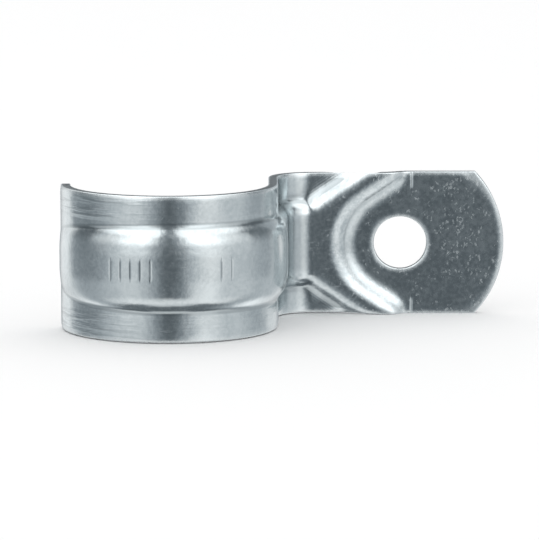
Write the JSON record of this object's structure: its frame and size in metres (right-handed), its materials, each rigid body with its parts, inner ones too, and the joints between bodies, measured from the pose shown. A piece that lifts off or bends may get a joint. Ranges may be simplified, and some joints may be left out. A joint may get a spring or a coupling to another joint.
{
  "type": "conduit strap",
  "caption": "Strap of pressed, zinc-plated steel strip that clips a thin-wall conduit to a wall, with a raised rib that forks round the screw hole.",
  "frame": {"origin": "on the conduit's axis, at mid width of the strap", "axes": "+Z along the conduit's axis, +X towards the ear's free end, +Y into the wall, which is the plane y = conduit radius"},
  "size_m": [0.0675, 0.0327, 0.022],
  "materials": {
    "zinc_plated_steel": "satin"
  },
  "bodies": {
    "root": {"strap": "zinc_plated_steel"}
  },
  "joints": []
}
